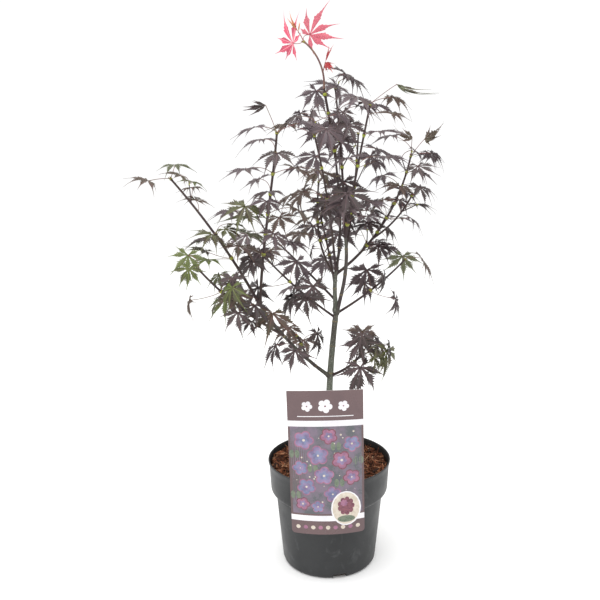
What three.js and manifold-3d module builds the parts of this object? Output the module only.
// A young Japanese maple in a round nursery pot, with a picture card on the rim.
// Millimetres, +Z up. The origin is the middle of the pot's flat underside, and
// the card faces -Y.

import * as THREE from 'three';
import { mergeVertices } from 'three/addons/utils/BufferGeometryUtils.js';
import Module from 'manifold-3d';

// Driving dimensions of the pot
const POT = {
  height: 168,
  wall: 1.8,
  floor: 2.5,
  foot: 69.7,
  heel: 4,
  lowerTop: { z: 113.5, radius: 83.8 },
  shoulder: { z: 116.5, radius: 88.4 },
  collarFoot: { z: 120, radius: 91.7 },
  lipFoot: { z: 159, radius: 93.9 },
  rim: 95.7,
  bead: { height: 3, inset: 0.4 },
  sides: 32,
};
const NOTCH = { width: 21, height: 7, depth: 11, first: 283, count: 4 };
const DRAIN = { radius: 6, ring: 44, count: 6, first: 13, sides: 8 };

// Driving dimensions of the root ball and its bark mulch
const SOIL = {
  top: 157.65,
  seat: 0.35,
  edge: 2,
  flat: 16,
  rings: [0.72, 0.45],
  bumps: 1.6,
  waves: [0.11, 0.13],
  fall: 2.2,
};

// Driving dimensions of the picture card and the tongue that hooks it on the rim
const CARD = {
  width: 108.2,
  height: 227.5,
  bottom: 86.5,
  thick: 0.8,
  bow: 150,
  flatten: 0.75,
  corner: 5,
  tilt: 1.3,
  lean: 2.5,
  shift: -3.1,
  seat: 0.35,
  strips: 12,
};
const TONGUE = { half: 17, hang: 8, lean: 2.5, thick: 0.8, strips: 6 };

// Shared sizes of the plant
const GAP = 0.35;
const LIMB_STEPS = 16;
const BOUGH_SIDES = 8;
const SHOOT_SIDES = 4;
const TWIG_SIDES = 3;
const TWIG_RADIUS = 0.8;
const STALK_WIDTH = 1.1;
const BLADE_THICK = 0.7;
const ROOT_FLARE = { radius: 3.2, height: 14 };

// One lobe of a leaf: its angle from the middle lobe, and its length and half
// width in lengths of the middle lobe
const LOBES = [
  { angle: -122, length: 0.46, half: 0.1 },
  { angle: -80, length: 0.8, half: 0.125 },
  { angle: -38, length: 0.97, half: 0.135 },
  { angle: 0, length: 1, half: 0.135 },
  { angle: 38, length: 0.97, half: 0.135 },
  { angle: 80, length: 0.8, half: 0.125 },
  { angle: 122, length: 0.46, half: 0.1 },
];
const HEART = 0.17;
const HEEL_OF_LEAF = -0.05;
const WIDEST = 0.42;
const SPIKES_FROM = 60;
const SAMPLES = [0.24, 0.4, 0.55, 0.7, 0.85, 1];

// How leaves and twigs stand: spreads are to either side of a mean, angles are in
// degrees, and the rest are shares of a direction or of a length
const HABIT = {
  aroundSpread: 20,
  alongShoot: 0.55,
  outward: 0.35,
  rise: 0.05,
  riseSpread: 0.25,
  keepStart: 0.4,
  stalkSpread: 0.22,
  knee: 0.45,
  yawSpread: 22,
  droopSpread: 18,
  rollSpread: 22,
  sizeSpread: 0.16,
  curl: 0.22,
  curlSpread: 0.12,
};
const TWIG = { aroundSpread: 15, outward: 0.8, upward: 0.25, shortest: 0.75, spread: 0.5 };

// Room that a leaf keeps to other leaves and to limbs, and how often it tries
const LEAF_ROOM = 4.4;
const OWN_LEAF_ROOM = 2.2;
const LIMB_ROOM = 3.4;
const TRIES = 6;

// Limbs in the order they grow. Each starts on its parent, the share `at` of the
// way up it. Its lean from upright and its turn about +Z, in degrees, go evenly
// from the first value to the second, and its thickness does the same.
const LIMBS = [
  {
    name: 'trunk', parent: null, at: 0, length: 246,
    lean: [-2, 7], turn: [0, 0], thick: [12, 8],
  },
  {
    name: 'bough_left', parent: 'trunk', at: 0.58, length: 170,
    lean: [53, 31], turn: [214, 192], thick: [5.2, 3.6],
  },
  {
    name: 'bough_leader', parent: 'trunk', at: 1.0, length: 62,
    lean: [8, 9], turn: [153, 34], thick: [6.4, 5.0],
  },
  {
    name: 'bough_right', parent: 'trunk', at: 0.985, length: 125,
    lean: [26, -8], turn: [304, 345], thick: [5.4, 4.0],
  },
  {
    name: 'bough_top', parent: 'bough_leader', at: 1.0, length: 168,
    lean: [10, 5], turn: [20, 190], thick: [3.8, 2.8],
  },
  {
    name: 'foliage_low_right', parent: 'trunk', at: 0.585, length: 80,
    lean: [66, 34], turn: [341, 306], thick: [3.0, 1.8],
    pairs: 2, first: 0.65, phase: 140, twigs: 0.3,
    stalk: 24, blade: 44, droop: 70, seed: 517,
  },
  {
    name: 'foliage_low_left', parent: 'bough_left', at: 0.3, length: 40,
    lean: [20, 33], turn: [170, 150], thick: [2.2, 1.6],
    pairs: 3, first: 0.25, phase: 160, twigs: 0.2,
    stalk: 36, blade: 38, droop: 60, seed: 868,
  },
  {
    name: 'foliage_left_knee', parent: 'bough_left', at: 0.8, length: 55,
    lean: [60, 45], turn: [250, 223], thick: [2.2, 1.6],
    pairs: 3, first: 0.4, phase: 175, twigs: 0,
    stalk: 26, blade: 42, droop: 45, seed: 725,
  },
  {
    name: 'foliage_left_low', parent: 'bough_left', at: 0.64, length: 161,
    lean: [58, 40], turn: [209, 194], thick: [2.8, 1.6],
    pairs: 3, first: 0.45, phase: 0, twigs: 0,
    stalk: 40, blade: 33, droop: 65, seed: 89,
  },
  {
    name: 'foliage_left_far', parent: 'bough_left', at: 1.0, length: 217,
    lean: [30, 41], turn: [165, 175], thick: [3.0, 1.6],
    pairs: 2, first: 0.35, phase: 115, twigs: 0,
    stalk: 44, blade: 36, droop: 0, seed: 202,
  },
  {
    name: 'foliage_left_tall', parent: 'bough_left', at: 0.98, length: 252,
    lean: [3, 25], turn: [330, 285], thick: [3.0, 1.6],
    pairs: 7, first: 0.3, phase: 10, twigs: 0,
    stalk: 38, blade: 38, droop: 15, seed: 809,
  },
  {
    name: 'foliage_inner_front', parent: 'trunk', at: 0.96, length: 135,
    lean: [54, 42], turn: [199, 190], thick: [2.4, 1.4],
    pairs: 3, first: 0.35, phase: 0, twigs: 0.2,
    stalk: 46, blade: 39, droop: 60, seed: 211,
  },
  {
    name: 'foliage_inner_back', parent: 'bough_leader', at: 0.28, length: 147,
    lean: [52, 55], turn: [147, 148], thick: [2.4, 1.4],
    pairs: 2, first: 0.25, phase: 105, twigs: 0.1,
    stalk: 48, blade: 42, droop: 20, seed: 379,
  },
  {
    name: 'foliage_middle_back', parent: 'bough_leader', at: 0.85, length: 159,
    lean: [47, 11], turn: [138, 71], thick: [2.4, 1.4],
    pairs: 4, first: 0.4, phase: 0, twigs: 0,
    stalk: 36, blade: 39, droop: 15, seed: 1,
  },
  {
    name: 'foliage_middle_front', parent: 'bough_leader', at: 0.93, length: 212,
    lean: [11, 24], turn: [248, 237], thick: [2.6, 1.4],
    pairs: 3, first: 0.55, phase: 165, twigs: 0.1,
    stalk: 36, blade: 41, droop: 30, seed: 454,
  },
  {
    name: 'foliage_upper_top', parent: 'bough_top', at: 1.0, length: 98,
    lean: [9, 11], turn: [190, 179], thick: [2.8, 2.0],
    pairs: 4, first: 0.1, last: 0.92, phase: 45, twigs: 0,
    stalk: 28, blade: 40, droop: 65, seed: 941,
  },
  {
    name: 'foliage_red_tip', parent: 'foliage_upper_top', at: 1.0, length: 75,
    lean: [-5, 53], turn: [174, 174], thick: [2.0, 1.4],
    pairs: 1, first: 1.0, phase: 90, twigs: 0,
    stalk: 19, blade: 46, droop: -25, roll: -80, seed: 143, look: 'youngLeaf',
  },
  {
    name: 'foliage_upper_back', parent: 'bough_right', at: 1.0, length: 222,
    lean: [19, 20], turn: [95, 107], thick: [2.8, 1.4],
    pairs: 4, first: 0.45, phase: 5, twigs: 0.1,
    stalk: 36, blade: 44, droop: 10, seed: 372,
  },
  {
    name: 'foliage_upper_right', parent: 'bough_right', at: 0.97, length: 194,
    lean: [10, 22], turn: [320, 296], thick: [2.8, 1.4],
    pairs: 5, first: 0.1, phase: 175, twigs: 0,
    stalk: 38, blade: 39, droop: 10, seed: 633,
  },
  {
    name: 'foliage_right_far', parent: 'bough_leader', at: 0.9, length: 215,
    lean: [55, 14], turn: [11, 29], thick: [3.0, 1.5],
    pairs: 7, first: 0.3, phase: 115, twigs: 0.3,
    stalk: 36, blade: 33, droop: 23, seed: 344,
  },
  {
    name: 'foliage_right_mid', parent: 'foliage_right_far', at: 0.36, length: 89,
    lean: [57, 26], turn: [340, 353], thick: [2.0, 1.4],
    pairs: 1, first: 0.6, phase: 75, twigs: 0,
    stalk: 30, blade: 37, droop: 15, seed: 77,
  },
  {
    name: 'foliage_right_back', parent: 'trunk', at: 0.985, length: 148,
    lean: [66, 56], turn: [25, 39], thick: [2.6, 1.4],
    pairs: 2, first: 0.45, phase: 110, twigs: 0.2,
    stalk: 34, blade: 41, droop: 70, seed: 679,
  },
  {
    name: 'foliage_back_low', parent: 'bough_leader', at: 0.6, length: 170,
    lean: [60, 40], turn: [95, 110], thick: [2.6, 1.4],
    pairs: 4, first: 0.4, phase: 85, twigs: 0.1,
    stalk: 38, blade: 44, droop: 55, seed: 618,
  },
  {
    name: 'foliage_back_high', parent: 'bough_right', at: 0.85, length: 190,
    lean: [40, 22], turn: [75, 82], thick: [2.6, 1.4],
    pairs: 4, first: 0.3, phase: 125, twigs: 0.2,
    stalk: 46, blade: 38, droop: 55, seed: 335,
  },
];

const wasm = await Module();
wasm.setup();

const rad = THREE.MathUtils.degToRad;
const vec = (x, y, z) => new THREE.Vector3(x, y, z);
const mix = (a, b, s) => a + (b - a) * s;
const UP = vec(0, 0, 1);

// Solids: joining, cutting and tidying closed meshes

function bare(geometry) {
  geometry.deleteAttribute('normal');
  geometry.deleteAttribute('uv');
  return mergeVertices(geometry, 1e-4);
}

function toSolid(geometry) {
  const closed = bare(geometry);
  return new wasm.Manifold(new wasm.Mesh({
    numProp: 3,
    vertProperties: new Float32Array(closed.attributes.position.array),
    triVerts: new Uint32Array(closed.index.array),
  }));
}

// The largest connected piece of a solid, which drops the loose scraps of a cut.
function largestPiece(solid) {
  const mesh = solid.getMesh();
  const corners = mesh.triVerts;
  const group = Array.from({ length: mesh.vertProperties.length / mesh.numProp }, (_, i) => i);
  const find = (i) => {
    while (group[i] !== i) {
      group[i] = group[group[i]];
      i = group[i];
    }
    return i;
  };
  for (let i = 0; i < corners.length; i += 3) {
    group[find(corners[i])] = find(corners[i + 1]);
    group[find(corners[i + 1])] = find(corners[i + 2]);
  }
  const count = new Map();
  for (let i = 0; i < corners.length; i += 3) {
    const root = find(corners[i]);
    count.set(root, (count.get(root) ?? 0) + 1);
  }
  const best = [...count.entries()].sort((a, b) => b[1] - a[1])[0][0];
  const kept = [];
  for (let i = 0; i < corners.length; i += 3) {
    if (find(corners[i]) === best) kept.push(corners[i], corners[i + 1], corners[i + 2]);
  }
  const geometry = new THREE.BufferGeometry();
  const places = new THREE.Float32BufferAttribute(mesh.vertProperties, 3);
  geometry.setAttribute('position', places);
  geometry.setIndex(kept);
  return bare(geometry.toNonIndexed());
}

// A closed lathe solid about +Z from [radius, height] points that go up the outside.
function lathe(points, sides) {
  const profile = points.map(([radius, z]) => new THREE.Vector2(radius, z));
  return new THREE.LatheGeometry(profile, sides).rotateX(Math.PI / 2);
}

// A tapering tube with flat ends along a list of points, `radius` giving its
// radius at each share of the way.
function tube(points, radius, sides) {
  const steps = points.length - 1;
  const geometry = new THREE.CylinderGeometry(1, 1, 1, sides, steps);
  const place = geometry.attributes.position;
  const frames = points.map((point, i) => {
    const before = points[Math.max(i - 1, 0)];
    const after = points[Math.min(i + 1, steps)];
    const axis = after.clone().sub(before).normalize();
    const side = vec(1, 0, 0).cross(axis).normalize();
    return { side, lift: axis.clone().cross(side) };
  });
  for (let i = 0; i < place.count; i += 1) {
    const share = place.getY(i) + 0.5;
    const k = Math.round(share * steps);
    const { side, lift } = frames[k];
    const reach = radius(share);
    const at = points[k].clone()
      .addScaledVector(side, place.getX(i) * reach)
      .addScaledVector(lift, -place.getZ(i) * reach);
    place.setXYZ(i, at.x, at.y, at.z);
  }
  return geometry;
}

// Growth: centrelines, seeded draws and leaves that keep their distance

// Even numbers from 0 to 1 from a seed, by the minimal standard generator.
class Draws {
  constructor(seed) {
    this.state = (seed * 7919 + 12345) % 2147483647;
    for (let i = 0; i < 3; i += 1) this.next();
  }

  next() {
    this.state = (this.state * 48271) % 2147483647;
    return this.state / 2147483647;
  }

  spread(half) {
    return (this.next() * 2 - 1) * half;
  }
}

function heading(lean, turn) {
  const level = Math.sin(rad(lean));
  return vec(level * Math.cos(rad(turn)), level * Math.sin(rad(turn)), Math.cos(rad(lean)));
}

function centreline(start, limb) {
  const points = [start];
  for (let i = 0; i < LIMB_STEPS; i += 1) {
    const share = (i + 0.5) / LIMB_STEPS;
    const way = heading(mix(...limb.lean, share), mix(...limb.turn, share));
    points.push(points[i].clone().addScaledVector(way, limb.length / LIMB_STEPS));
  }
  return points;
}

function pointAlong(points, share) {
  const step = Math.min(Math.floor(share * LIMB_STEPS), LIMB_STEPS - 1);
  return points[step].clone().lerp(points[step + 1], share * LIMB_STEPS - step);
}

function headingAlong(points, share) {
  const step = Math.min(Math.floor(share * LIMB_STEPS), LIMB_STEPS - 1);
  return points[step + 1].clone().sub(points[step]).normalize();
}

// The two directions across an axis, the first of them level.
function across(axis) {
  const side = axis.clone().cross(UP);
  if (side.lengthSq() < 1e-6) side.set(1, 0, 0);
  side.normalize();
  return [side, side.clone().cross(axis)];
}

// A leaf: its stalk's three points and the frame and size of its blade.
class Leaf {
  constructor(stalk, ahead, side, size, curl) {
    Object.assign(this, { stalk, ahead, side, size, curl });
    this.up = ahead.clone().cross(side);
  }

  // The point x ahead and y aside of the blade's heel, in blade lengths; the
  // blade hangs down with the square of that distance.
  place(x, y, lift = 0) {
    const drop = this.curl * (x * x + y * y) * this.size;
    return this.stalk[2].clone()
      .addScaledVector(this.ahead, x * this.size)
      .addScaledVector(this.side, y * this.size)
      .addScaledVector(this.up, lift - drop);
  }

  // Points all over the leaf that stand for it when distances are measured.
  cloud() {
    const points = [this.place(0, 0)];
    for (const { angle, length, half } of LOBES) {
      const cos = Math.cos(rad(angle));
      const sin = Math.sin(rad(angle));
      for (const share of SAMPLES) {
        points.push(this.place(cos * length * share, sin * length * share));
      }
      for (const wide of [-half, half]) {
        const reach = length * WIDEST;
        points.push(this.place(cos * reach - sin * wide, sin * reach + cos * wide));
      }
    }
    const [foot, knee, end] = this.stalk;
    points.push(foot.clone().lerp(knee, 0.7), knee);
    points.push(knee.clone().lerp(end, 0.3), knee.clone().lerp(end, 0.6));
    return points;
  }
}

class Plant {
  constructor(limbs) {
    this.lines = {};
    this.limbPoints = [];
    this.clouds = [];
    this.growth = {};
    for (const limb of limbs) {
      const root = vec(0, 0, SOIL.top + GAP);
      const start = limb.parent ? pointAlong(this.lines[limb.parent], limb.at) : root;
      this.lines[limb.name] = centreline(start, limb);
      this.growth[limb.name] = { leaves: [], twigs: [] };
      this.sample(this.lines[limb.name], limb.thick[0] / 2, limb.thick[1] / 2);
    }
    for (const limb of limbs) {
      if (limb.pairs) this.dress(limb);
    }
  }

  // Keeps three points for each step of a limb, with its radius there.
  sample(points, thickFoot, thickTip) {
    const steps = points.length - 1;
    for (let i = 0; i < steps * 3; i += 1) {
      const at = points[Math.floor(i / 3)].clone().lerp(points[Math.floor(i / 3) + 1], (i % 3) / 3);
      this.limbPoints.push({ at, radius: mix(thickFoot, thickTip, i / 3 / steps) });
    }
    this.limbPoints.push({ at: points[steps], radius: thickTip });
  }

  isClear(cloud, owner) {
    for (const { at, radius } of this.limbPoints) {
      const room = (radius + LIMB_ROOM) ** 2;
      if (cloud.some((point) => point.distanceToSquared(at) < room)) return false;
    }
    const box = new THREE.Box3().setFromPoints(cloud).expandByScalar(LEAF_ROOM);
    for (const other of this.clouds) {
      const room = (other.owner === owner ? OWN_LEAF_ROOM : LEAF_ROOM) ** 2;
      for (const point of other.cloud) {
        if (!box.containsPoint(point)) continue;
        if (cloud.some((own) => own.distanceToSquared(point) < room)) return false;
      }
    }
    return true;
  }

  // Sets the pairs of leaves along a shoot, each pair a quarter turn from the last.
  dress(limb) {
    const draws = new Draws(limb.seed);
    const points = this.lines[limb.name];
    for (let k = 0; k < limb.pairs; k += 1) {
      const share = limb.pairs === 1 ? 1 : k / (limb.pairs - 1);
      const place = mix(limb.first, limb.last ?? 1, share);
      const node = pointAlong(points, place);
      const axis = headingAlong(points, place);
      for (const half of [0, 1]) {
        const around = limb.phase + 90 * k + 180 * half;
        const isTwig = draws.next() < limb.twigs && k < limb.pairs - 1;
        if (isTwig) this.growTwig(limb, node, axis, around, share, draws);
        else this.growLeaf(limb, node, axis, around, share, draws);
      }
    }
  }

  // Grows a short side twig with a pair of leaves at its tip.
  growTwig(limb, node, axis, around, share, draws) {
    const [side, lift] = across(axis);
    const angle = rad(around + draws.spread(TWIG.aroundSpread));
    const out = side.clone().multiplyScalar(Math.cos(angle)).addScaledVector(lift, Math.sin(angle));
    const way = axis.clone().addScaledVector(out, TWIG.outward);
    way.addScaledVector(UP, TWIG.upward).normalize();
    const reach = limb.stalk * (TWIG.shortest + TWIG.spread * draws.next());
    const tip = node.clone().addScaledVector(way, reach);
    const points = [0, 0.25, 0.5, 0.75, 1].map((part) => node.clone().lerp(tip, part));
    if (!this.isClear(points.slice(2), limb.name)) return;
    this.growth[limb.name].twigs.push([node, tip]);
    this.sample(points.slice(1), TWIG_RADIUS, TWIG_RADIUS);
    for (const half of [0, 1]) this.growLeaf(limb, tip, way, around + 90 + 180 * half, share, draws);
  }

  // Grows a leaf from a node, or skips it where it finds no room.
  growLeaf(limb, node, axis, around, share, draws) {
    const [side, lift] = across(axis);
    const grown = mix(limb.taper ?? 1, 1, share);
    for (let attempt = 0; attempt < TRIES; attempt += 1) {
      const angle = rad(around + draws.spread(HABIT.aroundSpread));
      const radial = side.clone().multiplyScalar(Math.cos(angle)).addScaledVector(lift, Math.sin(angle));
      const start = axis.clone().multiplyScalar(HABIT.alongShoot).add(radial).normalize();
      const level = vec(start.x, start.y, 0).normalize();
      const outward = vec(node.x, node.y, 0);
      if (outward.lengthSq() > 1) level.addScaledVector(outward.normalize(), HABIT.outward);
      level.normalize();
      const rise = HABIT.rise + draws.spread(HABIT.riseSpread);
      const end = level.clone().addScaledVector(UP, rise);
      end.addScaledVector(start, HABIT.keepStart).normalize();
      const reach = limb.stalk * grown * (1 + draws.spread(HABIT.stalkSpread));
      const knee = node.clone().addScaledVector(start, reach * HABIT.knee);
      const tip = knee.clone().addScaledVector(end, reach * (1 - HABIT.knee));
      const face = level.applyAxisAngle(UP, rad(draws.spread(HABIT.yawSpread)));
      const drop = rad(limb.droop + draws.spread(HABIT.droopSpread));
      const ahead = face.clone().multiplyScalar(Math.cos(drop)).addScaledVector(UP, -Math.sin(drop));
      const aside = UP.clone().cross(face);
      const roll = rad((limb.roll ?? 0) + draws.spread(HABIT.rollSpread));
      const tilted = aside.clone().multiplyScalar(Math.cos(roll))
        .addScaledVector(ahead.clone().cross(aside), Math.sin(roll));
      const size = limb.blade * grown * (1 + draws.spread(HABIT.sizeSpread));
      const curl = HABIT.curl + draws.spread(HABIT.curlSpread);
      const leaf = new Leaf([node, knee, tip], ahead, tilted, size, curl);
      const cloud = leaf.cloud();
      if (this.isClear(cloud, limb.name)) {
        this.clouds.push({ cloud, owner: limb.name });
        this.growth[limb.name].leaves.push(leaf);
        return;
      }
    }
  }
}

// The pot: a thin-walled lathe solid with a wide collar, notches in its foot and
// drain holes in its floor

// Points of the wall from the heel up to the lip, moved in by `inset`.
function wallProfile(inset) {
  const { heel, foot, lowerTop, collarFoot, lipFoot } = POT;
  return [
    [foot + heel - inset, heel + inset * 0.4],
    [lowerTop.radius - inset, lowerTop.z],
    [collarFoot.radius - inset, collarFoot.z],
    [lipFoot.radius - inset, lipFoot.z],
  ];
}

function makePot() {
  const { height, wall, floor, foot, heel, shoulder, rim, bead, sides } = POT;
  const [heelTop, lowerTop, ...collar] = wallProfile(0);
  const low = [[0, 0], [foot, 0], [foot + heel * 0.7, heel * 0.3], heelTop, lowerTop];
  const outside = [...low, [shoulder.radius, shoulder.z], ...collar];
  const lip = [[rim - bead.inset, height - bead.height], [rim, height], [rim - wall, height]];
  const inside = wallProfile(wall).reverse();
  let pot = toSolid(lathe([...outside, ...lip, ...inside, [foot, floor], [0, floor]], sides));
  for (let i = 0; i < NOTCH.count; i += 1) {
    const turn = rad(NOTCH.first + (360 / NOTCH.count) * i);
    const cut = new THREE.BoxGeometry(NOTCH.depth * 2, NOTCH.width, NOTCH.height * 2);
    cut.translate(foot + heel, 0, 0).rotateZ(turn);
    pot = pot.subtract(toSolid(cut));
  }
  for (let i = 0; i < DRAIN.count; i += 1) {
    const turn = rad(DRAIN.first + (360 / DRAIN.count) * i);
    const hole = new THREE.CylinderGeometry(DRAIN.radius, DRAIN.radius, floor * 3, DRAIN.sides);
    hole.rotateX(Math.PI / 2).translate(DRAIN.ring, 0, 0).rotateZ(turn);
    pot = pot.subtract(toSolid(hole));
  }
  return largestPiece(pot);
}

// The root ball, which fills the pot to just under its rim; its top is level where
// the trunk stands, and falls and rises a little around it
function makeSoil() {
  const { wall, floor, foot, sides } = POT;
  const { top, seat, edge, flat, rings, bumps, waves, fall } = SOIL;
  const side = wallProfile(wall + seat).slice(0, -1);
  const brim = side.at(-1)[0] + 1;
  const ball = lathe([
    [0, floor + seat], [foot - seat, floor + seat], ...side,
    [brim, top - edge], ...rings.map((share) => [brim * share, top]), [flat, top], [0, top],
  ], sides);
  const place = ball.attributes.position;
  for (let i = 0; i < place.count; i += 1) {
    const [x, y, z] = [place.getX(i), place.getY(i), place.getZ(i)];
    const out = Math.hypot(x, y);
    if (z < top - edge * 2 || out < flat + 1) continue;
    const wave = Math.sin(x * waves[0] + 1) * Math.cos(y * waves[1]) * bumps;
    const slope = ((x + y) / brim) * fall;
    place.setZ(i, z + wave - Math.max(slope, -0.5) * (out / brim));
  }
  return bare(ball);
}

// A box of `strips` strips whose corners go to place(a, b, c), each from 0 to 1.
function bent(strips, place) {
  const box = new THREE.BoxGeometry(1, 1, 1, strips, 1, 1);
  const at = box.attributes.position;
  for (let i = 0; i < at.count; i += 1) {
    const point = place(at.getX(i) + 0.5, at.getY(i) + 0.5, at.getZ(i) + 0.5);
    at.setXYZ(i, point.x, point.y, point.z);
  }
  return toSolid(box);
}

// How far the bowed card falls back at a distance from its middle and a share of
// its height: it is flatter at the top.
function bowAt(x, share) {
  return (CARD.bow - Math.sqrt(CARD.bow ** 2 - x ** 2)) * (1 - CARD.flatten * share);
}

// The card in front of the rim, with a tongue that goes over the rim into the pot
function makeCard() {
  const { width, height, bottom, thick, corner, strips, seat, tilt, lean, shift } = CARD;
  const back = -(POT.rim + seat);
  const half = width / 2;
  const station = (a) => {
    const edge = corner / 2;
    const k = Math.round(a * strips);
    if (k === 0 || k === strips) return Math.sign(a - 0.5) * half;
    if (k === 1 || k === strips - 1) return Math.sign(a - 0.5) * (half - edge * 0.5);
    return mix(-half + corner, half - corner, (k - 2) / (strips - 4));
  };
  const cutAt = (x) => {
    const into = Math.max(Math.abs(x) - (half - corner), 0);
    return corner - Math.sqrt(Math.max(corner ** 2 - into ** 2, 0));
  };
  const plate = bent(strips, (a, b, c) => {
    const x = station(a);
    const low = bottom - POT.height + cutAt(x);
    const z = c < 0.5 ? low : bottom + height - POT.height;
    const forward = z * Math.tan(rad(lean));
    const point = vec(x, back - thick * (1 - b) + bowAt(x, c) - forward, z);
    point.applyAxisAngle(vec(0, 1, 0), rad(-tilt));
    return point.add(vec(shift, 0, POT.height));
  });
  const inner = POT.rim * Math.cos(Math.PI / POT.sides) - POT.wall - seat - TONGUE.thick;
  const arc = (a) => rad(mix(-TONGUE.half, TONGUE.half, a) - 90);
  const atRim = (POT.height - bottom) / height;
  const bridge = bent(TONGUE.strips, (a, b, c) => {
    const x = inner * Math.cos(arc(a));
    const y = b > 0.5 ? inner * Math.sin(arc(a)) : back - thick / 2 + bowAt(x - shift, atRim);
    return vec(x, y, POT.height + seat + TONGUE.thick * c);
  });
  const tongue = bent(TONGUE.strips, (a, b, c) => {
    const reach = inner + TONGUE.thick * (1 - b) - TONGUE.lean * (1 - c);
    const foot = POT.height - TONGUE.hang;
    const z = mix(foot, POT.height + seat + TONGUE.thick, c);
    return vec(reach * Math.cos(arc(a)), reach * Math.sin(arc(a)), z);
  });
  return largestPiece(plate.add(bridge).add(tongue));
}

// The plant: limbs as tapering tubes, and shoots with their twigs and leaves

function limbRadius(limb) {
  const flare = limb.parent ? 0 : ROOT_FLARE.radius;
  return (share) => {
    const up = share * limb.length;
    return mix(...limb.thick, share) / 2 + flare * Math.exp(-up / ROOT_FLARE.height);
  };
}

function limbTube(limb, line, grow = 0) {
  const sides = limb.pairs ? SHOOT_SIDES : BOUGH_SIDES;
  const radius = limbRadius(limb);
  const points = line.filter((_, i) => i % 2 === 0);
  if (grow) {
    const last = points.length - 1;
    const past = points[last].clone().sub(points[last - 1]).setLength(grow);
    points[last] = points[last].clone().add(past);
  }
  return toSolid(tube(points, (share) => radius(share) + grow * 1.2, sides));
}

// A leaf as one thin closed solid: a blade with pointed lobes, and a strap-like
// stalk that runs back from its heel to the node.
function leafSolid(leaf) {
  const strap = STALK_WIDTH / 2 / leaf.size;
  const rim = [[HEEL_OF_LEAF, -strap]];
  const faces = [];
  const notches = [0];
  LOBES.forEach(({ angle, length, half }, i) => {
    const [cos, sin] = [Math.cos(rad(angle)), Math.sin(rad(angle))];
    const spot = (reach, wide) => rim.push([cos * reach - sin * wide, sin * reach + cos * wide]) - 1;
    const isLast = i === LOBES.length - 1;
    const isSpike = Math.abs(angle) > SPIKES_FROM;
    const left = notches.at(-1);
    const near = isSpike ? left : spot(length * WIDEST, -half);
    const tip = spot(length, 0);
    const far = isSpike ? null : spot(length * WIDEST, half);
    const between = isLast ? Math.PI : rad((angle + LOBES[i + 1].angle) / 2);
    const notch = isLast ? [HEEL_OF_LEAF, strap] : [Math.cos(between) * HEART, Math.sin(between) * HEART];
    const right = rim.push(notch) - 1;
    notches.push(right);
    if (isSpike) faces.push([left, tip, right]);
    else faces.push([left, near, far], [left, far, right], [near, tip, far]);
  });
  for (let i = 1; i < notches.length - 1; i += 1) faces.push([0, notches[i], notches[i + 1]]);
  const count = rim.length;
  const corners = [BLADE_THICK / 2, -BLADE_THICK / 2]
    .flatMap((lift) => rim.map(([x, y]) => leaf.place(x, y, lift)));
  const index = faces.flatMap(([a, b, c]) => [a, b, c, c + count, b + count, a + count]);
  for (let a = 0; a < count - 1; a += 1) {
    index.push(a + count, a + 1 + count, a + 1, a + count, a + 1, a);
  }
  let ring = [0, count - 1, count * 2 - 1, count];
  const [foot, knee, end] = leaf.stalk;
  for (const [at, axis] of [[knee, end.clone().sub(foot)], [foot, knee.clone().sub(foot)]]) {
    axis.normalize();
    const side = leaf.side.clone().addScaledVector(axis, -leaf.side.dot(axis)).normalize();
    const lift = axis.clone().cross(side);
    const next = [[-1, 1], [1, 1], [1, -1], [-1, -1]].map(([a, b]) => corners.push(at.clone()
      .addScaledVector(side, (a * STALK_WIDTH) / 2)
      .addScaledVector(lift, (b * BLADE_THICK) / 2)) - 1);
    ring.forEach((corner, i) => {
      const j = (i + 1) % 4;
      index.push(corner, ring[j], next[j], corner, next[j], next[i]);
    });
    ring = next;
  }
  index.push(ring[0], ring[1], ring[2], ring[0], ring[2], ring[3]);
  const geometry = new THREE.BufferGeometry().setFromPoints(corners);
  geometry.setIndex(index);
  return toSolid(geometry);
}

// The limbs that a limb comes near: its parent and those that start beside it.
function neighboursOf(limb, earlier, lines) {
  const start = lines[limb.name][0];
  return earlier.filter((other) => lines[other.name]
    .some((point) => point.distanceTo(start) < other.length / LIMB_STEPS + other.thick[0]));
}

function makeLimb(limb, earlier, plant) {
  let solid = limbTube(limb, plant.lines[limb.name]);
  for (const { name } of neighboursOf(limb, earlier, plant.lines)) {
    const other = earlier.find((one) => one.name === name);
    solid = solid.subtract(limbTube(other, plant.lines[name], GAP));
  }
  const { leaves, twigs } = plant.growth[limb.name];
  for (const twig of twigs) {
    solid = solid.add(toSolid(tube(twig, () => TWIG_RADIUS, TWIG_SIDES)));
  }
  for (const leaf of leaves) solid = solid.add(leafSolid(leaf));
  return largestPiece(solid);
}

// The scene graph: one named mesh for each piece, with its own material

const COLOURS = {
  pot: { color: 0x4b4e50, roughness: 0.55, metalness: 0 },
  soil: { color: 0x7a4a2c, roughness: 0.95, metalness: 0 },
  card: { color: 0x856f70, roughness: 0.35, metalness: 0 },
  bark: { color: 0x5f6957, roughness: 0.75, metalness: 0 },
  leaf: { color: 0x554148, roughness: 0.6, metalness: 0 },
  youngLeaf: { color: 0xc8465a, roughness: 0.55, metalness: 0 },
};

const maple = new THREE.Group();

function addPiece(name, geometry, look) {
  const mesh = new THREE.Mesh(geometry, new THREE.MeshStandardMaterial(COLOURS[look]));
  mesh.name = name;
  maple.add(mesh);
}

addPiece('pot', makePot(), 'pot');
addPiece('root_ball', makeSoil(), 'soil');
addPiece('picture_card', makeCard(), 'card');

const plant = new Plant(LIMBS);
LIMBS.forEach((limb, i) => {
  const look = limb.pairs ? (limb.look ?? 'leaf') : 'bark';
  addPiece(limb.name, makeLimb(limb, LIMBS.slice(0, i), plant), look);
});

export default maple;
